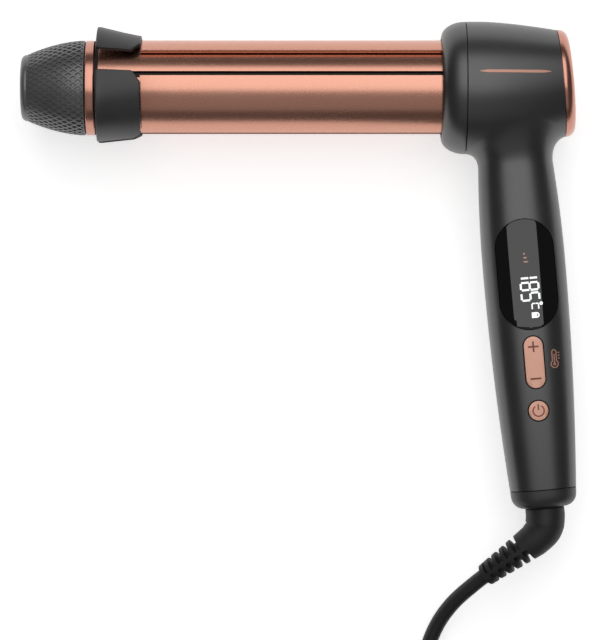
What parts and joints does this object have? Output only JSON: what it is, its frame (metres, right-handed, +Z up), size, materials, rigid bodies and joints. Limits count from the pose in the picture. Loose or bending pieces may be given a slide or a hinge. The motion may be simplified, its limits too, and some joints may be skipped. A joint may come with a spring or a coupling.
{
  "type": "curling iron",
  "caption": "Hand-held hair curling iron: heated barrel with sprung clamping flaps, a cool tip, an angled handle with display and keys, and a swivelling mains cord.",
  "frame": {"origin": "middle of the underside of the iron without its cord: centre of its bounding box in X and Y, at the surface that it lies on", "axes": "+Z up, out of the side with the display; the barrel points along -X and the handle along -Y"},
  "size_m": [0.2499, 0.3424, 0.0528],
  "materials": {
    "rose_metal": "satin anodised rose gold",
    "rose_trim": "plated rose gold",
    "hard_black": "fine matt moulded",
    "soft_black": "soft-touch lacquer",
    "smoked_window": "polished smoked acrylic",
    "copper_key": "satin rose lacquer",
    "cord_rubber": "matt",
    "plug_plastic": "matt moulded",
    "pin_metal": "nickel plated",
    "tie_silicone": "matt",
    "steel": "drawn",
    "core_aluminium": "extruded",
    "ceramic": "fired",
    "heat_proof_plastic": "moulded",
    "board": "solder mask",
    "component_black": "moulded",
    "capacitor_red": "dipped",
    "lead_red": "extruded sleeve",
    "lead_black": "extruded sleeve",
    "sensor_sleeve": "woven glass sleeve",
    "brass": "turned"
  },
  "bodies": {
    "iron": {"inner_barrel": "rose_metal", "tip_ring": "rose_trim", "head_end_cap": "rose_trim", "cool_tip": "hard_black", "handle_end_cap": "hard_black", "front_housing": "soft_black", "rear_housing": "soft_black", "head_collar": "soft_black", "display_window": "smoked_window", "button_membrane": "tie_silicone", "hinge_pin_top": "steel", "hinge_pin_front": "steel", "hinge_pin_rear": "steel", "flap_spring_top": "steel", "flap_spring_front": "steel", "flap_spring_rear": "steel", "tip_screw": "steel", "housing_screw_upper": "steel", "housing_screw_lower": "steel", "thermal_fuse": "steel", "heater_core_upper": "core_aluminium", "heater_core_lower": "core_aluminium", "triac_heat_sink": "core_aluminium", "ptc_heater": "ceramic", "thermistor": "ceramic", "board_fuse": "ceramic", "barrel_base": "heat_proof_plastic", "tip_holder": "heat_proof_plastic", "swivel_bush": "heat_proof_plastic", "control_board": "board", "display_module": "component_black", "tact_switch_up": "component_black", "tact_switch_down": "component_black", "tact_switch_power": "component_black", "triac": "component_black", "buzzer": "component_black", "brush_block": "component_black", "film_capacitor": "capacitor_red", "heater_lead_live": "lead_red", "mains_lead_live": "lead_red", "heater_lead_neutral": "lead_black", "mains_lead_neutral": "lead_black", "sensor_lead": "sensor_sleeve"},
    "top_flap": {"flap_top": "rose_metal", "flap_tip_top": "hard_black"},
    "front_flap": {"flap_front": "rose_metal", "flap_tip_front": "hard_black"},
    "rear_flap": {"flap_rear": "rose_metal", "flap_tip_rear": "hard_black"},
    "rocker": {"temperature_rocker": "copper_key"},
    "power_key": {"power_button": "copper_key"},
    "cord_set": {"strain_relief": "cord_rubber", "slip_ring_rotor": "brass", "cord": "cord_rubber", "cord_coil": "cord_rubber", "cord_tie": "tie_silicone", "cord_tail": "cord_rubber", "plug_body": "plug_plastic", "plug_pin_left": "pin_metal", "plug_pin_right": "pin_metal"}
  },
  "joints": [
    {"name": "top_flap_hinge", "type": "hinge", "parent": "iron", "child": "top_flap", "pos_m": [0.06399, 0.08497, 0.0264], "axis": [0, 0, -1], "range_deg": [0, 5], "stiffness_Nm_per_rad": 0.2, "springref_deg": -17.19},
    {"name": "front_flap_hinge", "type": "hinge", "parent": "iron", "child": "front_flap", "pos_m": [0.06399, 0.06367, 0.0387], "axis": [0, 0.866, 0.5], "range_deg": [0, 5], "stiffness_Nm_per_rad": 0.2, "springref_deg": -17.19},
    {"name": "rear_flap_hinge", "type": "hinge", "parent": "iron", "child": "rear_flap", "pos_m": [0.06399, 0.06367, 0.0141], "axis": [0, -0.866, 0.5], "range_deg": [0, 5], "stiffness_Nm_per_rad": 0.2, "springref_deg": -17.19},
    {"name": "rocker_tilt", "type": "hinge", "parent": "iron", "child": "rocker", "pos_m": [0.09338, -0.03853, 0.03889], "axis": [0.9964, 0.0851, 0], "range_deg": [-2.5, 2.5], "stiffness_Nm_per_rad": 0.05},
    {"name": "power_press", "type": "slide", "parent": "iron", "child": "power_key", "axis": [0, 0, -1], "range_m": [0, 0.0005], "stiffness_N_per_m": 400, "springref_m": -0.001},
    {"name": "cord_swivel", "type": "hinge", "parent": "iron", "child": "cord_set", "pos_m": [0.09832, -0.09642, 0.0264], "axis": [-0.0851, 0.9964, 0], "continuous": true}
  ]
}
